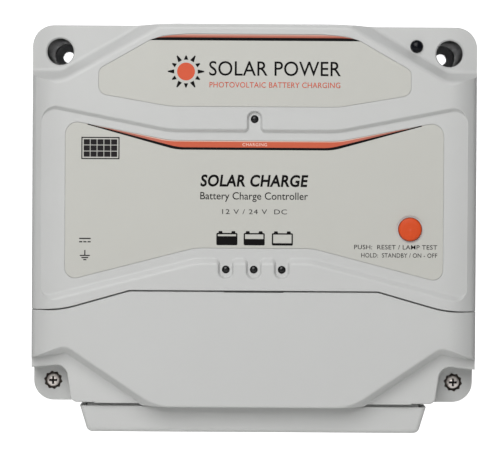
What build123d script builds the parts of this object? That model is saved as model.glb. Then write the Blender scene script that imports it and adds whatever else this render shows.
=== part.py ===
from build123d import *
import os
from math import atan2, cos, hypot, pi, radians, sin, tan

# Wall-mounted solar charge controller, millimetres.
# Frame: +X to the right seen from the front, the front faces -Y, +Z up.
# Origin: centre of the rectangle of the four wall screws, on the wall plane (y = 0).

# ------------------------------------------------------------------ driving dimensions
HALF_W = 100.5          # half width of the housing
TOP_Z = 75.5            # top edge of the housing at the corners
CROWN_Z = 76.3          # top edge in the middle
FRONT_Y = -68.0         # front face
RIM_Y = -18.0           # rear rim of the plastic, front face of the aluminium plate
WALL = 2.5              # plastic wall
TOP_CORNER_R = 9.6
LOW_CORNER_R = 9.2
ROLL_R1, ROLL_R2 = 17.0, 5.0     # two arcs that turn the front face into the side wall
ROLL_A1 = 35.0                   # degrees covered by the first arc
GAP = 0.4               # joint between upper housing and wiring cover
PART_R = 45.0           # bend of the parting line towards the sides
PART_C_Z, PART_C_X = -44.2, 56.0     # parting line: level in the middle, half width of that level
PART_S_Z, PART_S_X = -52.9, 86.5     # parting line: level at the sides
EAR_FLOOR_Y = -60.5     # sunk corner pads round the wall screw holes
MOUNT_X, MOUNT_Z = 88.0, 63.5        # wall screw positions
MOUNT_HOLE_R = 2.6
MOUNT_BORE_R = 6.0
MOUNT_SEAT_Y = -5.0
FIELD_Y = -66.2         # floor of the sunk middle field
CAVITY_Y = -63.4        # inside of the front wall of the upper housing
LABEL_DEEP, LABEL_T = 0.6, 0.4
LED_R, LED_HOLE_R = 1.7, 1.8
LED_TOP = (0.0, 33.4)
LED_ROW_Z, LED_PITCH = -34.4, 12.6
BUTTON_X, BUTTON_Z = 70.35, -15.85
BUTTON_R, BUTTON_HOLE_R = 5.2, 5.45
BUTTON_TRAVEL = 0.8
SENSOR_X, SENSOR_Z, SENSOR_R = 73.1, 66.8, 2.8
LEDGE_Y = -60.5         # lower corner ledges of the cover
COVER_LOW_Z = -96.5     # lowest line of the cover's front panel
LEDGE_LOW_Z = -95.4
BAND_W = 3.1            # sloping band under the cover's front panel
SCREW_X, SCREW_Z = 91.7, -86.3       # cover screws
SCREW_FLOOR_Y = -46.0
COVER_RIM_Y = -18.5
TRAY_TOP_Z, TRAY_LOW_Z = -96.9, -108.8
TRAY_FRONT_Y, TRAY_BACK_Y = -58.0, -4.0
CONDUIT_X = (-45.0, 0.0, 45.0)
CONDUIT_Y, CONDUIT_R = -28.0, 11.1
GROMMET_X = 65.0
PLATE_T = 4.0
FIN_TIP_Y = -2.0
PCB_BACK_Y, PCB_T = -28.0, 1.6
PCB_Y = PCB_BACK_Y - PCB_T
BOARD_Y = -57.4         # front face of the small display board
POWER_PITCH = 14.0
CAGE_TRAVEL = 4.5
SENSE_PITCH = 5.08
DIP_PITCH, DIP_TRAVEL = 2.54, 1.3

os.makedirs("parts", exist_ok=True)


# ------------------------------------------------------------------ helpers
def rounded(points, radii, y, d=0.0, weights=None):
    """Closed outline in the plane y, counter-clockwise in (x, z), offset outwards by d times each edge's weight."""
    n = len(points)
    w = weights or [1.0] * n
    lines = []
    for i in range(n):
        (x0, z0), (x1, z1) = points[i], points[(i + 1) % n]
        length = hypot(x1 - x0, z1 - z0)
        ux, uz = (x1 - x0) / length, (z1 - z0) / length
        lines.append((x0 + uz * d * w[i], z0 - ux * d * w[i], ux, uz))
    ends = []
    for i in range(n):
        ax, az, aux, auz = lines[i - 1]
        bx, bz, bux, buz = lines[i]
        cross, dot = aux * buz - auz * bux, aux * bux + auz * buz
        t = ((bx - ax) * buz - (bz - az) * bux) / cross
        cx, cz = ax + aux * t, az + auz * t
        if radii[i] <= 0:
            ends.append(((cx, cz), None, (cx, cz)))
            continue
        mean = (w[i - 1] + w[i]) / 2
        r = max(radii[i] + (d if cross > 0 else -d) * mean, 0.05)
        half = abs(atan2(cross, dot)) / 2
        reach, lift = r * tan(half), r * (1 / cos(half) - 1)
        mx, mz = bux - aux, buz - auz
        m = hypot(mx, mz)
        ends.append((
            (cx - aux * reach, cz - auz * reach),
            (cx + mx / m * lift, cz + mz / m * lift),
            (cx + bux * reach, cz + buz * reach),
        ))
    edges = []
    for i in range(n):
        start, mid, end = ends[i]
        if mid:
            edges.append(Edge.make_three_point_arc(
                (start[0], y, start[1]), (mid[0], y, mid[1]), (end[0], y, end[1])))
        nxt = ends[(i + 1) % n][0]
        edges.append(Edge.make_line((end[0], y, end[1]), (nxt[0], y, nxt[1])))
    return Wire(edges)


def prism(points, radii, y0, y1, d=0.0, weights=None):
    face = Face(rounded(points, radii, y0, d, weights))
    return Solid.extrude(face, Vector(0, y1 - y0, 0))


def stack(points, radii, levels, weights=None):
    """Solid through the same outline at several (offset, y) levels."""
    return Solid.make_loft([rounded(points, radii, y, d, weights) for d, y in levels], ruled=True)


def bank(d0, y0, d1, y1, r0, r1, steps=4, past=0.0):
    """(offset, y) levels of a slope from the floor (d0, y0) to the crown (d1, y1 < y0).
    r0 hollows the foot, r1 rounds the crown; past carries the slope beyond the crown, for a cutter."""
    s = 1.0 if d1 > d0 else -1.0
    high, run = y0 - y1, abs(d1 - d0)
    a = atan2(high, run)
    foot, crown = r0 * tan(a / 2), r1 * tan(a / 2)
    out = []
    for k in range(steps + 1):
        f = a * k / steps
        out.append((d0 + s * (-foot + r0 * sin(f)), y0 - r0 * (1 - cos(f))))
    for k in range(steps, -1, -1):
        f = a * k / steps if k else (a / steps / 2 if past else 0.0)
        out.append((d1 + s * (crown - r1 * sin(f)), y1 + r1 * (1 - cos(f))))
    if past:
        f = a / steps / 2
        d, y = out[-1]
        rise = y - (y1 - past)
        out.append((d + s * rise / tan(f), y1 - past))
    clean = [out[0]]
    for p in out[1:]:
        if hypot(p[0] - clean[-1][0], p[1] - clean[-1][1]) > 0.02:
            clean.append(p)
    return clean


def mirrored(points):
    return [(-x, z) for x, z in reversed(points)]


def box(x0, x1, y0, y1, z0, z1):
    return Solid.make_box(x1 - x0, y1 - y0, z1 - z0, Plane(origin=(x0, y0, z0)))


def cyl_y(x, z, r, y0, y1):
    return Solid.make_cylinder(r, y1 - y0, Plane(origin=(x, y0, z), z_dir=(0, 1, 0)))


def cyl_z(x, y, r, z0, z1):
    return Solid.make_cylinder(r, z1 - z0, Plane(origin=(x, y, z0), z_dir=(0, 0, 1)))


def turned(x, z, profile):
    """Solid of revolution about the line along Y through (x, z); profile holds (radius, y) points."""
    face = Face(Wire.make_polygon([(x + r, y, z) for r, y in profile], close=True))
    return Solid.revolve(face, 360, Axis((x, 0, z), (0, 1, 0)))


def crown_points(r, y_rim, y_top, n=6):
    """Quarter-ellipse from the tip on the axis (0, y_top) to the rim (r, y_rim)."""
    return [(r * sin(pi / 2 * k / n), y_rim + (y_top - y_rim) * cos(pi / 2 * k / n)) for k in range(n + 1)]


def cross_slot(x, z, length, width, y0, y1):
    return [box(x - length / 2, x + length / 2, y0, y1, z - width / 2, z + width / 2),
            box(x - width / 2, x + width / 2, y0, y1, z - length / 2, z + length / 2)]


def joined(first, *more):
    out = first
    for m in more:
        out = out + m
    return out


def less(first, *tools):
    out = first
    for t in tools:
        for piece in (t if isinstance(t, (list, tuple)) else [t]):
            out = out - piece
    return out


def one(shape):
    """The single solid of a boolean result."""
    got = sorted(shape.solids(), key=lambda s: s.volume)
    assert len(got) == 1, [s.volume for s in got]
    return got[0]


def save(name, shapes):
    solids = shapes if isinstance(shapes, list) else [shapes]
    flat = [s for shape in solids for s in shape.solids()]
    thing = flat[0] if len(flat) == 1 else Compound(flat)
    export_step(thing, f"parts/{name}.step")
    print(name, len(flat), round(sum(s.volume for s in flat)))


# ------------------------------------------------------------------ shared shell section
FLAT_X = HALF_W - ROLL_R2 - (ROLL_R1 - ROLL_R2) * sin(radians(ROLL_A1))


def section(inset, y_back, z0, z1):
    """Front-to-side section of both plastic shells, drawn in XY and run along Z."""
    a = radians(ROLL_A1)
    r1, r2 = ROLL_R1 - inset, ROLL_R2 - inset
    c1 = (FLAT_X, FRONT_Y + ROLL_R1)
    c2 = (c1[0] + (ROLL_R1 - ROLL_R2) * sin(a), c1[1] - (ROLL_R1 - ROLL_R2) * cos(a))

    def on(c, r, ang, side):
        return (side * (c[0] + r * sin(ang)), c[1] - r * cos(ang), z0)

    edges = []
    for side in (1, -1):
        p = [on(c1, r1, 0, side), on(c1, r1, a / 2, side), on(c1, r1, a, side),
             on(c2, r2, a, side), on(c2, r2, (a + pi / 2) / 2, side), on(c2, r2, pi / 2, side)]
        edges.append(Edge.make_three_point_arc(p[0], p[1], p[2]))
        edges.append(Edge.make_three_point_arc(p[3], p[4], p[5]))
        edges.append(Edge.make_line(p[5], (side * (HALF_W - inset), y_back, z0)))
    front = [on(c1, r1, 0, -1), on(c1, r1, 0, 1)]
    edges.append(Edge.make_line(front[0], front[1]))
    edges.append(Edge.make_line((-(HALF_W - inset), y_back, z0), (HALF_W - inset, y_back, z0)))
    return Solid.extrude(Face(Wire(edges)), Vector(0, 0, z1 - z0))


# ------------------------------------------------------------------ upper housing
g = GAP / 2
UP_OUT = [(-HALF_W, PART_S_Z + g), (-PART_S_X, PART_S_Z + g), (-PART_C_X, PART_C_Z + g), (PART_C_X, PART_C_Z + g),
          (PART_S_X, PART_S_Z + g), (HALF_W, PART_S_Z + g), (HALF_W, TOP_Z), (54.0, TOP_Z), (36.0, CROWN_Z),
          (-36.0, CROWN_Z), (-54.0, TOP_Z), (-HALF_W, TOP_Z)]
UP_RAD = [0, PART_R, 6, 6, PART_R, 0, TOP_CORNER_R, 80, 80, 80, 80, TOP_CORNER_R]
# the front edge is rounded 2.5 at the top and a touch at the joint; the sides turn with the section instead
UP_WEIGHT = [0.12, 0.12, 0.12, 0.12, 0.12, 0.0, 1.0, 1.0, 1.0, 1.0, 1.0, 0.0]


def edge_levels(r, y_front, y_back, steps=4):
    """Front-edge rounding of radius r as (offset, y) levels, from the front backwards."""
    out = []
    for k in range(steps + 1):
        f = pi / 2 * k / steps
        out.append((-r * (1 - sin(f)), y_front + r * (1 - cos(f))))
    return out + [(0.0, y_back)]


outer = stack(UP_OUT, UP_RAD, edge_levels(2.5, FRONT_Y - 0.001, RIM_Y), UP_WEIGHT) & section(0.0, RIM_Y, -60, 80)

# sunk corner pads round the upper wall screws
EAR = [(40.3, 82.0), (87.4, 55.1), (106.0, 54.7), (106.0, 82.0)]
EAR_RAD = [0, 9.0, 0, 0]
EAR_LEVELS = bank(0.0, EAR_FLOOR_Y, 4.6, FRONT_Y, 2.4, 3.4, steps=5, past=0.6)
EAR_L, EAR_L_RAD = mirrored(EAR), EAR_RAD[::-1]
ear_cuts = [stack(EAR, EAR_RAD, EAR_LEVELS), stack(EAR_L, EAR_L_RAD, EAR_LEVELS)]

# sunk middle field, with bays round the indicator windows
BAY_T, BAY_B, BAY_TOP_Z, BAY_LOW_Z = 3.0, 3.1, 36.6, -38.2
BAY_W = 0.6             # steeper slope round the bays
field = [(-96.9, -48.7), (-25.5, -30.5)]
field_rad = [4.5, 20]
field_w = [1.7, 1.7]
for cx in (-LED_PITCH, 0.0, LED_PITCH):
    field += [(cx - BAY_B, -30.5), (cx - BAY_B, BAY_LOW_Z), (cx + BAY_B, BAY_LOW_Z), (cx + BAY_B, -30.5)]
    field_rad += [1.7, 2.9, 2.9, 1.7]
    field_w += [BAY_W, BAY_W, BAY_W, 1.7]
field += [(25.5, -30.5), (96.9, -48.7), (96.9, 39.6), (38.0, 28.0), (BAY_T, 28.0), (BAY_T, BAY_TOP_Z),
          (-BAY_T, BAY_TOP_Z), (-BAY_T, 28.0), (-38.0, 28.0), (-96.9, 39.6)]
field_rad += [20, 4.5, 7.0, 40, 1.7, 2.8, 2.8, 1.7, 40, 7.0]
field_w += [1.7, 1.0, 1.0, 1.0, BAY_W, BAY_W, BAY_W, 1.0, 1.0, 1.0]
FIELD_LEVELS = bank(-0.72, FIELD_Y, 0.72, FRONT_Y, 0.7, 1.1, steps=3, past=0.25)
field_cut = stack(field, field_rad, FIELD_LEVELS, field_w)

# label outlines
UPPER_LABEL = [(-38.0, 39.0), (38.0, 39.0), (70.2, 44.5), (70.2, 55.5), (47.3, 68.6), (41.0, 70.65), (30.0, 71.5),
               (-30.0, 71.5), (-41.0, 70.65), (-47.3, 68.6), (-70.2, 55.5), (-70.2, 44.5)]
UPPER_LABEL_RAD = [30, 30, 4.0, 3.5, 3, 10, 40, 40, 10, 3, 3.5, 4.0]
LOWER_LABEL = [(-85.2, -39.9), (-26.5, -24.7), (26.5, -24.7), (85.2, -39.9), (85.2, 32.8), (38.3, 23.6),
               (-38.3, 23.6), (-85.2, 32.8)]
LOWER_LABEL_RAD = [4.5, 25, 25, 4.5, 5.5, 40, 40, 5.5]
label_cuts = [
    prism(UPPER_LABEL, UPPER_LABEL_RAD, FRONT_Y - 1, FRONT_Y + LABEL_DEEP, 0.15),
    prism(LOWER_LABEL, LOWER_LABEL_RAD, FRONT_Y - 1, FIELD_Y + LABEL_DEEP, 0.15),
]

# inside of the upper housing
cavity = (prism(UP_OUT, UP_RAD, CAVITY_Y, -10.0, -WALL) & section(WALL, -10.0, -60, 80))
for pts, rad in ((EAR, EAR_RAD), (EAR_L, EAR_L_RAD)):
    cavity = cavity - prism(pts, rad, FRONT_Y - 2, EAR_FLOOR_Y + WALL, 4.2)

upper = less(outer, ear_cuts, field_cut, label_cuts, cavity)

LEDS = [LED_TOP] + [(k * LED_PITCH, LED_ROW_Z) for k in (-1, 0, 1)]
HOUSING_POSTS = [(-55.0, 68.0), (55.0, 68.0), (-93.4, -36.0), (93.4, -36.0)]
BOARD_POSTS = [(-17.0, 36.0), (75.0, 36.0), (-17.0, -28.0), (75.0, -36.0)]
ears = [(-MOUNT_X, MOUNT_Z), (MOUNT_X, MOUNT_Z)]
for x, z in ears:
    upper = upper + cyl_y(x, z, 8.5, EAR_FLOOR_Y + 1.0, RIM_Y)
for x, z in HOUSING_POSTS:
    upper = upper + (cyl_y(x, z, 4.0, CAVITY_Y - 0.6 if z < 0 else EAR_FLOOR_Y + 1.0, RIM_Y))
for x, z in HOUSING_POSTS[:2]:
    upper = upper + box(x - 1, x + 1, -58.5, RIM_Y, z + 3.0, TOP_Z - 1.5)
for x, z in HOUSING_POSTS[2:]:
    s = 1 if x > 0 else -1
    upper = upper + box(min(x + s * 3, s * 99.5), max(x + s * 3, s * 99.5), -58.5, RIM_Y, z - 1, z + 1)
for x, z in BOARD_POSTS:
    upper = upper + cyl_y(x, z, 3.0, CAVITY_Y - 0.6, BOARD_Y)
# tongue that backs the joint with the cover, behind the cover's front wall and side walls
LIP = [(-84.0, PART_S_Z + 1.2), (-84.0, PART_S_Z - 3.6), (-PART_C_X, PART_C_Z - 3.4), (PART_C_X, PART_C_Z - 3.4),
       (84.0, PART_S_Z - 3.6), (84.0, PART_S_Z + 1.2), (PART_C_X, PART_C_Z + 1.5), (-PART_C_X, PART_C_Z + 1.5)]
upper = upper + prism(LIP, [0, 0, 6, 6, 0, 0, 6, 6], -64.7, -62.5)
for s in (-1, 1):
    upper = upper + box(min(s * 95.4, s * 97.4), max(s * 95.4, s * 97.4), -56.0, -24.0, PART_S_Z - 3.4, PART_S_Z + 1.2)
upper = upper - box(-86.0, 86.0, PCB_Y - 0.9, -10.0, -58.0, -40.5)
for x, z in ears:
    upper = upper - cyl_y(x, z, MOUNT_BORE_R, -75.0, -10.0)
    upper = upper - turned(x, z, [(0, EAR_FLOOR_Y - 1), (MOUNT_BORE_R + 1.6, EAR_FLOOR_Y - 1),
                                  (MOUNT_BORE_R, EAR_FLOOR_Y + 0.6), (0, EAR_FLOOR_Y + 0.6)])
for x, z in HOUSING_POSTS:
    upper = upper - cyl_y(x, z, 1.5, RIM_Y - 12.0, -10.0)
for x, z in BOARD_POSTS:
    upper = upper - cyl_y(x, z, 0.95, CAVITY_Y + 0.6, BOARD_Y + 1.0)
for x, z in LEDS:
    upper = upper - cyl_y(x, z, LED_HOLE_R, -75.0, -60.0)
upper = upper - cyl_y(BUTTON_X, BUTTON_Z, BUTTON_HOLE_R, -75.0, -60.0)
upper = upper - cyl_y(SENSOR_X, SENSOR_Z, SENSOR_R + 0.15, -75.0, -55.0)
upper = one(upper)
save("upper_housing", upper)

# ------------------------------------------------------------------ labels
film_y = FRONT_Y + LABEL_DEEP - LABEL_T
save("upper_label", prism(UPPER_LABEL, UPPER_LABEL_RAD, film_y, film_y + LABEL_T))
film_y = FIELD_Y + LABEL_DEEP - LABEL_T
save("lower_label", prism(LOWER_LABEL, LOWER_LABEL_RAD, film_y, film_y + LABEL_T)
     - cyl_y(BUTTON_X, BUTTON_Z, 6.2, -75, -60))

# ------------------------------------------------------------------ wiring cover
SKIRT = [(-112.0, -77.6), (-84.5, -69.25), (-43.85, COVER_LOW_Z), (43.85, COVER_LOW_Z), (84.5, -69.25),
         (112.0, -77.6), (112.0, -40.0), (-112.0, -40.0)]
SKIRT_FOOT = [(-112.0, -76.5), (-84.84, -72.76), (-44.8, COVER_LOW_Z - BAND_W), (44.8, COVER_LOW_Z - BAND_W),
              (84.84, -72.76), (112.0, -76.5), (112.0, -40.0), (-112.0, -40.0)]
SKIRT_RAD = [0, 6.0, 25.0, 25.0, 6.0, 0, 0, 0]
SKIRT_FOOT_RAD = [0, 2.9, 28.1, 28.1, 2.9, 0, 0, 0]


def skirt_stack(levels):
    """Loft from the crown outline (share 0) to the foot outline (share 1); levels hold (share, y)."""
    wires = []
    for t, y in levels:
        pts = [(a + (c - a) * t, b + (d - b) * t) for (a, b), (c, d) in zip(SKIRT, SKIRT_FOOT)]
        rad = [max(a + (b - a) * t, 0.5) if a else 0 for a, b in zip(SKIRT_RAD, SKIRT_FOOT_RAD)]
        wires.append(rounded(pts, rad, y))
    return Solid.make_loft(wires, ruled=True)



LEDGE = [(-HALF_W, LEDGE_LOW_Z), (HALF_W, LEDGE_LOW_Z), (HALF_W, -40.0), (-HALF_W, -40.0)]
LEDGE_RAD = [LOW_CORNER_R, LOW_CORNER_R, 0, 0]
BELOW = [(-112.0, -112.0), (112.0, -112.0), (112.0, PART_S_Z - g), (PART_S_X, PART_S_Z - g),
         (PART_C_X, PART_C_Z - g), (-PART_C_X, PART_C_Z - g), (-PART_S_X, PART_S_Z - g), (-112.0, PART_S_Z - g)]
BELOW_RAD = [0, 0, 0, PART_R, 6, 6, PART_R, 0]
BELOW_W = [0, 0, 0.12, 0.12, 0.12, 0.12, 0.12, 0]

skirt_levels = bank(BAND_W, LEDGE_Y, 0.0, FRONT_Y, 0.8, 1.2, steps=4)
skirt_levels = [(skirt_levels[0][0], LEDGE_Y + 2.5)] + skirt_levels
skirt = skirt_stack([(d / BAND_W, y) for d, y in skirt_levels]) & box(-112, 112, -70, -50, COVER_LOW_Z, -30)
ledge = prism(LEDGE, LEDGE_RAD, LEDGE_Y, COVER_RIM_Y)
below = stack(BELOW, BELOW_RAD, edge_levels(2.5, FRONT_Y - 0.001, COVER_RIM_Y), BELOW_W)
cover = (skirt + ledge) & section(0.0, COVER_RIM_Y, -110, -30) & below
# slightly deeper joint in the middle of the cover's upper edge
cover = cover - box(-13.5, 13.5, -75.0, COVER_RIM_Y - 3, PART_C_Z - g - 0.35, -40.0)

# corner recesses that take the two cover screws
RECESS = [(72.0, -99.0), (106.0, -99.0), (106.0, -80.0), (84.9, -77.7), (82.4, -95.15), (72.0, -95.15)]
RECESS_RAD = [0, 0, 0, 5.4, 3.0, 0]
RECESS_LEVELS = bank(-0.7, SCREW_FLOOR_Y, 0.0, LEDGE_Y, 0.6, 0.7, steps=3, past=0.3)
RECESS_LEVELS.append((RECESS_LEVELS[-1][0], FRONT_Y - 1))
recess_cuts = [stack(RECESS, RECESS_RAD, RECESS_LEVELS),
               stack(mirrored(RECESS), RECESS_RAD[::-1], RECESS_LEVELS)]
recess_walls = [prism(RECESS, RECESS_RAD, FRONT_Y - 2, SCREW_FLOOR_Y + 3.0, 1.9),
                prism(mirrored(RECESS), RECESS_RAD[::-1], FRONT_Y - 2, SCREW_FLOOR_Y + 3.0, 1.9)]

inner_skirt = skirt_stack([(-0.39, FRONT_Y + WALL), (0.61, LEDGE_Y + WALL)])
inner_ledge = prism(LEDGE, LEDGE_RAD, LEDGE_Y + WALL, -10.0, -WALL)
inner = (((inner_skirt & box(-112, 112, -70, -50, COVER_LOW_Z + WALL, -30)) + inner_ledge)
         & section(WALL, -10.0, -110, -30))
for w in recess_walls:
    inner = inner - w
cover = less(cover, inner, recess_cuts)
# the underside is open over the wire tray
cover = cover - box(-76.0, 76.0, -56.2, -10.0, -100.0, -90.0)
for s in (-1, 1):
    x = s * SCREW_X
    star = []
    for k in range(20):
        rr = 4.35 if k % 2 else 3.7
        a = 2 * pi * k / 20 + pi / 20
        star.append((x + rr * cos(a), SCREW_Z + rr * sin(a)))
    cover = cover - prism(star, [0.25] * 20, SCREW_FLOOR_Y - 1.0, SCREW_FLOOR_Y + 1.9)
    cover = cover - cyl_y(x, SCREW_Z, 2.1, SCREW_FLOOR_Y - 1.0, -40.0)
# ribs that stiffen the panel behind
for x in (-48.0, -16.0, 16.0, 48.0):
    cover = cover + box(x - 0.8, x + 0.8, FRONT_Y + 1.5, -62.5, -90.0, PART_C_Z - 5.0)
cover = one(cover)
save("wiring_cover", cover)


def pan_screw(x, z, head_r, y_top, y_seat, shank_r, tip_y, cross=None, slot=None, collar=None):
    """Pan-head screw pointing +Y, head top at y_top, seat at y_seat."""
    high = y_seat - y_top
    prof = crown_points(head_r, y_top + 0.62 * high, y_top, 6) + [(head_r, y_seat), (shank_r, y_seat)]
    if collar:
        prof += [(shank_r, collar[1]), (collar[0], collar[1]), (collar[0], collar[2]), (shank_r, collar[2])]
    prof += [(shank_r, tip_y - 0.6), (shank_r * 0.6, tip_y), (0, tip_y)]
    body = turned(x, z, prof)
    if cross:
        body = less(body, cross_slot(x, z, cross, cross * 0.27, y_top - 0.5, y_top + 0.75 * high))
    if slot:
        body = body - box(x - head_r - 1, x + head_r + 1, y_top - 0.5, y_top + 0.5 * high, z - slot / 2, z + slot / 2)
    return one(body)


for s, name in ((-1, "cover_screw_left"), (1, "cover_screw_right")):
    save(name, pan_screw(s * SCREW_X, SCREW_Z, 2.95, -46.9, -44.15, 1.75, -29.0, cross=3.6,
                         collar=(2.4, -42.7, -42.1)))

# ------------------------------------------------------------------ aluminium base
PLATE = [(-99.0, -94.6), (99.0, -94.6), (99.0, 74.0), (-99.0, 74.0)]
base = prism(PLATE, [8.5] * 4, RIM_Y, RIM_Y + PLATE_T)
x = -92.0
while x < 92.5:
    base = base + box(x - 1.0, x + 1.0, RIM_Y + PLATE_T - 0.5, FIN_TIP_Y, -92.0, 72.0)
    x += 8.0
corners = [(sx * MOUNT_X, sz * MOUNT_Z) for sx in (-1, 1) for sz in (-1, 1)]
for x, z in corners:
    base = base - cyl_y(x, z, 10.5, RIM_Y + PLATE_T, 1.0)
    base = base + cyl_y(x, z, 8.0, RIM_Y, 0.0)
for x, z in HOUSING_POSTS:
    base = base - cyl_y(x, z, 4.6, RIM_Y + PLATE_T, 1.0)
for s in (-1, 1):
    base = base + cyl_y(s * SCREW_X, SCREW_Z, 4.5, -42.9, RIM_Y + 1.0)
for x, z in corners:
    base = base - cyl_y(x, z, MOUNT_BORE_R, -20.0, MOUNT_SEAT_Y)
    base = base - cyl_y(x, z, MOUNT_HOLE_R, -20.0, 1.0)
for x, z in HOUSING_POSTS:
    base = base - cyl_y(x, z, 1.7, -20.0, 0.0)
for s in (-1, 1):
    base = base - cyl_y(s * SCREW_X, SCREW_Z, 1.8, -43.5, -27.5)
    base = base - cyl_y(s * SCREW_X, SCREW_Z, 2.7, -43.5, -41.6)
CLAMP_X = (-20.0, 0.0, 20.0)
STANDOFFS = [(-76.0, 46.0), (76.0, 46.0), (-76.0, -38.0), (76.0, -38.0), (-74.0, -76.0), (74.0, -76.0)]
TRAY_TABS = (-67.0, -22.5, 22.5, 67.0)
blind = [(cx, 2.0) for cx in CLAMP_X] + [(tx, -88.0) for tx in TRAY_TABS]
for x, z in blind:
    base = base - cyl_y(x, z, 1.55, -19.0, RIM_Y + 3.2)
save("heatsink_base", one(base))

save("housing_screws", [
    turned(x, z, [(0, -11.5), (2.2, -11.7), (2.9, -12.6), (2.9, -13.99), (1.42, -13.99), (1.42, -28.6), (0.8, -29.4),
                  (0, -29.4)]) - box(x - 1.6, x + 1.6, -12.9, -11.0, z - 0.45, z + 0.45)
    - box(x - 0.45, x + 0.45, -12.9, -11.0, z - 1.6, z + 1.6) for x, z in HOUSING_POSTS])

# ------------------------------------------------------------------ wire tray under the housing
TRAY = [(-80.1, -92.5), (-75.1, TRAY_LOW_Z), (75.1, TRAY_LOW_Z), (80.1, -92.5)]
TRAY_RAD = [0, 3.0, 3.0, 0]
tray = stack(TRAY, TRAY_RAD, edge_levels(2.0, TRAY_FRONT_Y, TRAY_BACK_Y)) & box(-90, 90, -70, 0, -112, TRAY_TOP_Z)
tray = tray - (prism(TRAY, TRAY_RAD, TRAY_FRONT_Y + 2.0, TRAY_BACK_Y - 2.0, -2.0) & box(-90, 90, -70, 0, -112, -90))
tray = tray + box(-77.2, 77.2, -14.0, TRAY_BACK_Y, TRAY_TOP_Z - 2.0, TRAY_TOP_Z)
for tx in TRAY_TABS:
    w = 8.0 if abs(tx) < 40 else 7.0
    tray = tray + box(tx - w, tx + w, -20.5, RIM_Y - 0.02, TRAY_LOW_Z + 1.0, -80.5)
    tray = tray - cyl_y(tx, -88.0, 1.7, -22.0, -17.0)
for cx in CONDUIT_X:
    tray = tray - cyl_z(cx, CONDUIT_Y, CONDUIT_R, -115.0, -100.0)
tray = tray - cyl_z(GROMMET_X, CONDUIT_Y, 6.0, -115.0, -100.0)
save("wire_tray", one(tray))

grommet = (cyl_z(GROMMET_X, CONDUIT_Y, 5.95, TRAY_LOW_Z, TRAY_LOW_Z + 2.0)
           + cyl_z(GROMMET_X, CONDUIT_Y, 7.2, TRAY_LOW_Z + 2.0, TRAY_LOW_Z + 3.6))
grommet = grommet - cyl_z(GROMMET_X, CONDUIT_Y, 3.2, -112.0, -104.0)
save("wire_grommet", one(grommet))
save("tray_screws", [pan_screw(tx, -88.0, 2.8, -22.7, -20.5, 1.45, -15.4, cross=3.2) for tx in TRAY_TABS])

# ------------------------------------------------------------------ indicators, sensor, button
def led(x, z, tip):
    prof = crown_points(LED_R, tip + 1.1, tip, 6) + [(LED_R, -58.9), (2.4, -58.9), (2.4, BOARD_Y), (0, BOARD_Y)]
    return turned(x, z, prof)


save("charging_led", led(*LED_TOP, FIELD_Y - 0.1))
save("battery_leds", [led(k * LED_PITCH, LED_ROW_Z, FIELD_Y - 0.1) for k in (-1, 0, 1)])
save("temperature_sensor", turned(SENSOR_X, SENSOR_Z,
     crown_points(SENSOR_R, EAR_FLOOR_Y - 0.3, EAR_FLOOR_Y - 2.2, 7)
     + [(SENSOR_R, EAR_FLOOR_Y + WALL + 0.02), (3.7, EAR_FLOOR_Y + WALL + 0.02), (3.7, EAR_FLOOR_Y + WALL + 1.2),
        (0, EAR_FLOOR_Y + WALL + 1.2)]))

btn = [(0, -67.55), (3.2, -67.52), (4.5, -67.4), (5.0, -67.1), (BUTTON_R, -66.6), (BUTTON_R, CAVITY_Y + 0.1),
       (6.5, CAVITY_Y + 0.1), (6.5, CAVITY_Y + 1.1), (1.75, CAVITY_Y + 1.1), (1.75, -60.0), (0, -60.0)]
save("push_button", turned(BUTTON_X, BUTTON_Z, btn))
save("tact_switch", one(box(BUTTON_X - 3, BUTTON_X + 3, -60.9, BOARD_Y, BUTTON_Z - 3, BUTTON_Z + 3)
     - cyl_y(BUTTON_X, BUTTON_Z, 1.9, -62, -58.7)))

# ------------------------------------------------------------------ boards
PCB = [(-78.0, -80.0), (78.0, -80.0), (78.0, -49.0), (84.0, -47.0), (84.0, 62.0), (-84.0, 62.0), (-84.0, -47.0),
       (-78.0, -49.0)]
pcb = prism(PCB, [1.5] * 8, PCB_Y, PCB_BACK_Y)
for x, z in ears:
    pcb = pcb - cyl_y(x, z, 10.0, -40, -20)
for x, z in STANDOFFS:
    pcb = pcb - cyl_y(x, z, 1.6, -40, -20)
save("main_pcb", one(pcb))
save("pcb_standoffs", [cyl_y(x, z, 3.0, PCB_BACK_Y, RIM_Y) - cyl_y(x, z, 1.5, PCB_BACK_Y, RIM_Y - 1.0)
                       for x, z in STANDOFFS])
save("pcb_screws", [pan_screw(x, z, 2.8, PCB_Y - 2.1, PCB_Y, 1.45, -21.0, cross=3.2) for x, z in STANDOFFS])

board = prism([(-22, -40), (80, -40), (80, 40), (-22, 40)], [1.5] * 4, BOARD_Y, BOARD_Y + PCB_T)
for x, z in BOARD_POSTS:
    board = board - cyl_y(x, z, 1.1, -60, -50)
save("front_board", one(board))
save("front_board_screws", [turned(x, z, [(0, -53.9), (1.6, -54.0), (1.9, -54.5), (1.9, BOARD_Y + PCB_T),
                                          (0.9, BOARD_Y + PCB_T), (0.9, -62.0), (0, -62.6)]) for x, z in BOARD_POSTS])
save("board_link", one(box(50, 70, PCB_Y - 9.0, PCB_Y, -2.5, 2.5) + box(52, 68, -50.0, PCB_Y - 8.0, -1.2, 1.2)
     + box(50, 70, BOARD_Y + PCB_T, -47.0, -2.5, 2.5)))

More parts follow.
